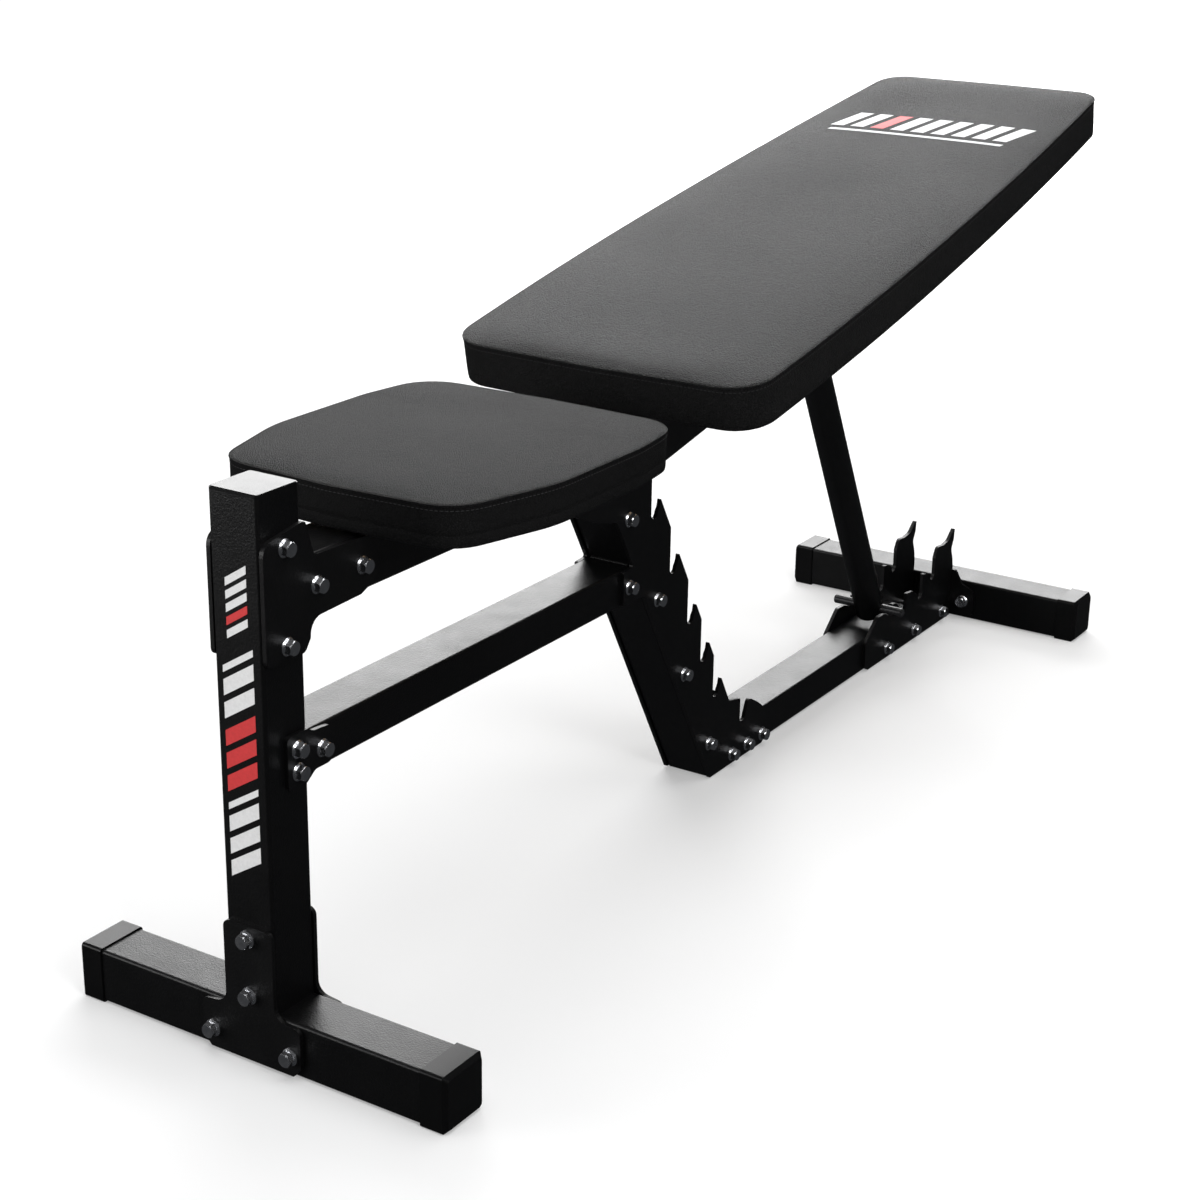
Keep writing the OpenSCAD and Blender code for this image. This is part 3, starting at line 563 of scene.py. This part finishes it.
def vinyl_finish(name, dark, light, rough, gleam, scale, depth):
    """Leather-grained vinyl: pebbles with scale to the metre, embossed depth metres deep, with painted shade
    darkening the grooves between them.
    """
    finish, tree, shader, place = new_finish(name)
    drift = step(tree, "ShaderNodeTexNoise", Vector=place, Scale=240.0, Detail=2.0)
    shaken = step(tree, "ShaderNodeMix", {"data_type": "VECTOR"}, n0=0.0022, n4=place,
                  n5=drift.outputs["Color"])
    pores = step(tree, "ShaderNodeTexVoronoi", {"feature": "DISTANCE_TO_EDGE"},
                 Vector=shaken.outputs[1], Scale=scale)
    pebble = step(tree, "ShaderNodeMapRange", {"interpolation_type": "SMOOTHSTEP"},
                  Value=pores.outputs["Distance"], n1=0.0, n2=0.28, n3=0.0, n4=1.0)
    fine = step(tree, "ShaderNodeTexNoise", Vector=place, Scale=1500.0, Detail=2.0)
    creased = step(tree, "ShaderNodeTexNoise", Vector=place, Scale=16.0, Detail=2.0)
    height = step(tree, "ShaderNodeMath", {"operation": "MULTIPLY_ADD"}, n0=fine.outputs["Fac"], n1=0.35,
                  n2=pebble.outputs["Result"])
    bump = step(tree, "ShaderNodeBump", Height=height.outputs["Value"], Strength=1.0, Distance=depth)
    soft = step(tree, "ShaderNodeBump", Height=creased.outputs["Fac"], Strength=0.25, Distance=0.0016,
                Normal=bump.outputs["Normal"])
    tree.links.new(soft.outputs["Normal"], shader.inputs["Normal"])
    cloud = step(tree, "ShaderNodeTexNoise", Vector=place, Scale=5.0, Detail=4.0)
    tone = step(tree, "ShaderNodeMix", {"data_type": "RGBA"}, Factor=cloud.outputs["Fac"], n6=dark, n7=light)
    # Painted shade: the base colour is darkened to half in the grooves between the pebbles.
    deep = step(tree, "ShaderNodeMapRange", Value=pebble.outputs["Result"], n3=0.5, n4=1.0)
    groove_painted_shade = step(tree, "ShaderNodeMix", {"data_type": "RGBA", "blend_type": "MULTIPLY"}, n0=1.0,
                 n6=tone.outputs["Result"], n7=deep.outputs["Result"])
    tree.links.new(groove_painted_shade.outputs["Result"], shader.inputs["Base Color"])
    gloss = step(tree, "ShaderNodeMapRange", Value=cloud.outputs["Fac"], n3=rough - 0.05, n4=rough + 0.06)
    tree.links.new(gloss.outputs["Result"], shader.inputs["Roughness"])
    shader.inputs["Specular IOR Level"].default_value = gleam
    return finish


def dress(mesh, finish):
    """Gives a mesh one material and smooth shading."""
    mesh.materials.clear()
    mesh.materials.append(finish)
    mesh.polygons.foreach_set("use_smooth", [True] * len(mesh.polygons))


seat_right = [(0, 88, 0), (122, 96, 42), (151, 200, 150), (151, 330, 150), (140, 410.5, 42), (0, 416, 0)]
seat_thick = 36
seat_edge = rounded(mirrored(seat_right))
seat_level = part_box("seat_cover")[0].z / MM
seat_place = Matrix.Translation(beside_post(0, 0, seat_level))
board_crease = 10.2
seat_cushion = upholster("seat_cushion", seat_edge, seat_thick, 190, 310, [
    (1.4, 0.9), (0.4, 1.4), (0.1, 3), (0.0, 6), (0.05, 9), (0.1, board_crease), (0.05, 11.4), (-0.1, 15),
    (-0.2, 19)], (12.5, 8.5, 4.5, 2.0), board_crease)
seat_vinyl = vinyl_finish("seat_vinyl", (0.006, 0.0061, 0.0064, 1), (0.010, 0.010, 0.0102, 1),
                          rough=0.66, gleam=0.10, scale=520.0, depth=0.00045)
dress(seat_cushion.data, seat_vinyl)

# ---- Seat seams and underside: a thin welt of folded vinyl between the top panel and the side
# band, a row of black lockstitches just below it, and under the board the cover pulled round and
# stapled down as a hem.


def cord_tree(name):
    """A node tree that draws a round cord of one radius along a path."""
    tree = bpy.data.node_groups.new(name, "GeometryNodeTree")
    tree.interface.new_socket("Path", in_out="INPUT", socket_type="NodeSocketGeometry")
    tree.interface.new_socket("Radius", in_out="INPUT", socket_type="NodeSocketFloat")
    tree.interface.new_socket("Finish", in_out="INPUT", socket_type="NodeSocketMaterial")
    tree.interface.new_socket("Cord", in_out="OUTPUT", socket_type="NodeSocketGeometry")
    given = tree.nodes.new("NodeGroupInput").outputs
    curve = step(tree, "GeometryNodeMeshToCurve", n0=given["Path"])
    ring = step(tree, "GeometryNodeCurvePrimitiveCircle", Resolution=10, Radius=given["Radius"])
    drawn = step(tree, "GeometryNodeCurveToMesh", n0=curve.outputs[0], n1=ring.outputs[0])
    real = step(tree, "GeometryNodeRealizeInstances", n0=drawn.outputs[0])
    dressed = step(tree, "GeometryNodeSetMaterial", Geometry=real.outputs[0], Material=given["Finish"])
    out = tree.nodes.new("NodeGroupOutput")
    tree.links.new(dressed.outputs[0], out.inputs[0])
    return tree


welt_tree = cord_tree("welt")
stitch_tree = bead_row("stitch_row", "grain")
thread, tree, shader, place = new_finish("black_thread")
twist = step(tree, "ShaderNodeTexNoise", Vector=place, Scale=2600.0, Detail=2.0)
tone = step(tree, "ShaderNodeMix", {"data_type": "RGBA"}, Factor=twist.outputs["Fac"],
            n6=(0.008, 0.008, 0.009, 1), n7=(0.03, 0.03, 0.032, 1))
tree.links.new(tone.outputs["Result"], shader.inputs["Base Color"])
shader.inputs["Roughness"].default_value = 0.6

staple_tree = bead_row("staple_row", "bar")
hem_width, staple_inset, staple_z = 26.0, 17, -1.45


def hem_ring(name, edge, finish, place):
    """The cover's turned-under edge: a closed ring of one profile, (inset, height) in millimetres."""
    profile = [(1.3, 4.0), (0.5, 1.6), (0.8, 0.0), (2.4, -1.1), (8, -1.35), (hem_width - 6, -1.3),
               (hem_width, -0.9), (hem_width, 0.3), (3.0, 0.3), (2.2, 2.4), (1.8, 4.0)]
    rings = [[(p.x, p.y, z) for p in inward(edge, inset)] for inset, z in profile]
    n, points, faces = len(edge), [], []
    for ring in rings:
        points += [Vector(p) * MM for p in ring]
    for k in range(len(rings)):
        m = (k + 1) % len(rings)
        for i in range(n):
            j = (i + 1) % n
            faces.append((k * n + i, m * n + i, m * n + j, k * n + j))
    mesh = bpy.data.meshes.new(name)
    mesh.from_pydata(points, [], faces)
    face_outward(mesh)
    mesh.transform(place)
    dress(mesh, finish)
    return put(name, mesh)


def sew(word, cushion, edge, thick, stitch_drop, vinyl, place):
    """What runs along a cushion's edge: welt, lockstitches, hem and staples."""
    welt = grow(word + "_welt", [snapped(cushion, edge, thick - 0.9, lift=0.3)], True, welt_tree, place,
                radius=0.95 * MM, finish=vinyl)
    stitches = grow(word + "_stitches", [snapped(cushion, edge, thick - stitch_drop, lift=0.12)], True,
                    stitch_tree, place, pitch=4.2 * MM, length=3.3 * MM, width=0.7 * MM,
                    height=0.7 * MM, finish=thread)
    hem = hem_ring(word + "_hem", edge, vinyl, place)
    staple_line = [Vector((p.x, p.y, staple_z)) * MM for p in inward(edge, staple_inset)]
    staples = grow(word + "_staples", [staple_line], True, staple_tree, place, pitch=24 * MM,
                   length=10 * MM, width=1.2 * MM, height=0.7 * MM, finish=zinc)
    return welt, stitches, hem, staples


seat_welt, seat_stitches, seat_hem, seat_staples = sew("seat", seat_cushion, seat_edge, seat_thick, 5,
                                                       seat_vinyl, seat_place)
seat_cushion.data.transform(seat_place)
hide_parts("seat_foam", "seat_cover")
for piece, coat in ((seat_cushion, "vinyl"), (seat_welt, "vinyl"), (seat_stitches, "vinyl"),
                    (seat_hem, "vinyl"), (seat_staples, "zinc")):
    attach(piece, "frame")

# ---- Backrest cushion: the same build on a long board that narrows in a curve to the head,
# 44 mm thick, with one welted seam round the top panel and a plain band.
back_front, back_tip = -11, 912


def back_half_width(y):
    """Half the backrest's width: it narrows in a curve to the head and a little to the front."""
    return 177 - 36 * (max(0, y - 100) / 800) ** 2 - 5 * (max(0, 350 - y) / 350) ** 2


back_right = ([(0, back_front, 0), (back_half_width(back_front), back_front + 4, 40)]
              + [(back_half_width(y), y, 0) for y in range(100, 853, 50)]
              + [(back_half_width(back_tip), back_tip - 2, 32), (0, back_tip, 0)])
back_thick = 44
back_edge = rounded(mirrored(back_right))
hinge, rest_tilt, board_over_hinge = beside_post(0, 508, 432), math.radians(10.8), 24
back_place = (Matrix.Translation(hinge) @ Matrix.Rotation(rest_tilt, 4, "X")
              @ Matrix.Translation((0, 0, board_over_hinge * MM)))
back_cushion = upholster("back_cushion", back_edge, back_thick, 90, 800, [
    (1.4, 0.9), (0.4, 1.4), (0.1, 3), (0.0, 7), (-0.1, 12), (-0.2, 17), (-0.2, 22), (-0.2, 27),
    (-0.2, 32)], (8.0, 4.5, 2.0))
back_vinyl = vinyl_finish("back_vinyl", (0.006, 0.0061, 0.0064, 1), (0.010, 0.010, 0.0102, 1),
                          rough=0.60, gleam=0.21, scale=400.0, depth=0.0013)
dress(back_cushion.data, back_vinyl)

# ---- Backrest seams and underside: the same welt, lockstitches and stapled hem as on the seat,
# laid along the backrest's own edge.
back_welt, back_stitches, back_hem, back_staples = sew("back", back_cushion, back_edge, back_thick, 5.5,
                                                       back_vinyl, back_place)

# ---- Prints: plain slanted bars in pale grey and red, screen-printed on the post and on the head
# of the backrest. Ink a tenth of a millimetre thick that follows the surface under it.


def ink_finish(name, dark, light):
    """Dull screen ink, slightly uneven in tone."""
    finish, tree, shader, place = new_finish(name)
    worn = step(tree, "ShaderNodeTexNoise", Vector=place, Scale=420.0, Detail=3.0)
    tone = step(tree, "ShaderNodeMix", {"data_type": "RGBA"}, Factor=worn.outputs["Fac"], n6=dark, n7=light)
    tree.links.new(tone.outputs["Result"], shader.inputs["Base Color"])
    bump = step(tree, "ShaderNodeBump", Height=worn.outputs["Fac"], Strength=0.3, Distance=0.00012)
    tree.links.new(bump.outputs["Normal"], shader.inputs["Normal"])
    shader.inputs["Roughness"].default_value = 0.48
    return finish


pale_ink = ink_finish("pale_ink", (0.60, 0.60, 0.60, 1), (0.78, 0.78, 0.78, 1))
red_ink = ink_finish("red_ink", (0.50, 0.012, 0.014, 1), (0.68, 0.02, 0.022, 1))


pale, red = 0, 1
ink_under, ink_over = -0.25, 0.12


def printed(name, shapes, lay):
    """Bars as (four corners, colour, cells across, cells along), laid on a surface by lay(point, lift)."""
    mesh = bpy.data.meshes.new(name)
    form = bmesh.new()
    for corners, colour, across, along in shapes:
        a, b, c, d = [Vector(p) for p in corners]
        sheets = []
        for lift in (ink_under, ink_over):
            sheets.append([[form.verts.new(lay(a.lerp(b, i / across).lerp(d.lerp(c, i / across), j / along),
                                               lift))
                            for i in range(across + 1)] for j in range(along + 1)])
        low, top = sheets
        for j in range(along):
            for i in range(across):
                for sheet, near, far in ((top, j, j + 1), (low, j + 1, j)):
                    corner_points = (sheet[near][i], sheet[near][i + 1], sheet[far][i + 1], sheet[far][i])
                    form.faces.new(corner_points).material_index = colour
        rim = ([(0, i) for i in range(across)] + [(j, across) for j in range(along)]
               + [(along, i) for i in range(across, 0, -1)] + [(j, 0) for j in range(along, 0, -1)])
        for k, (j, i) in enumerate(rim):
            m, n = rim[(k + 1) % len(rim)]
            form.faces.new((low[j][i], low[m][n], top[m][n], top[j][i])).material_index = colour
    bmesh.ops.recalc_face_normals(form, faces=form.faces)
    form.to_mesh(mesh)
    form.free()
    mesh.materials.append(pale_ink)
    mesh.materials.append(red_ink)
    return put(name, mesh)


def post_bar(low, high, x0, x1, lean, colour):
    """A bar on the post from x0 to x1 that climbs by lean, between two heights at its left end."""
    return ([(x0, low), (x1, low + lean), (x1, high + lean), (x0, high)], colour, 1, 1)


post_front = -25
post_bars = []
for low, high, colour in ((170, 184, pale), (190, 204, pale), (210, 224, pale), (230, 236, pale),
                          (246, 260, red), (266, 280, red), (286, 300, red), (310, 324, pale),
                          (330, 344, pale), (350, 356, pale)):
    post_bars.append(post_bar(low, high, -17, 15, 20, colour))
for low, high, colour in ((380, 387, pale), (391, 398, red), (402, 409, pale), (413, 420, pale),
                          (424, 431, pale)):
    post_bars.append(post_bar(low, high, -11, 11, 14, colour))
post_print = printed("post_print", post_bars, lambda p, lift: beside_post(p.x, post_front - lift, p.y))
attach(post_print, "frame")

back_skin, over_cushion = skin_of(back_cushion), 80


def on_back(p, lift):
    """The point of the backrest's top panel straight under p, raised by lift."""
    spot = back_skin.ray_cast(Vector((p.x, p.y, over_cushion)) * MM, Vector((0, 0, -1)))[0]
    return spot + Vector((0, 0, lift * MM))


bar_count, red_bar, bar_left, bar_pitch = 9, 2, -116, 26
bar_width, bar_slant, bar_low, bar_high = 17, 16, 702, 752
head_bars = []
for i in range(bar_count):
    x = bar_left + i * bar_pitch
    corners = [(x, bar_low), (x + bar_width, bar_low), (x + bar_width + bar_slant, bar_high),
               (x + bar_slant, bar_high)]
    head_bars.append((corners, red if i == red_bar else pale, 8, 16))
head_bars.append(([(-112, 686), (108, 686), (110, 692), (-110, 692)], pale, 90, 3))
head_print = printed("head_print", head_bars, on_back)
head_print.data.transform(back_place)
back_cushion.data.transform(back_place)
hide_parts("back_foam", "back_cover")
for piece, coat in ((back_cushion, "vinyl"), (back_welt, "vinyl"), (back_stitches, "vinyl"),
                    (back_hem, "vinyl"), (back_staples, "zinc"), (head_print, "vinyl")):
    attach(piece, "backrest")
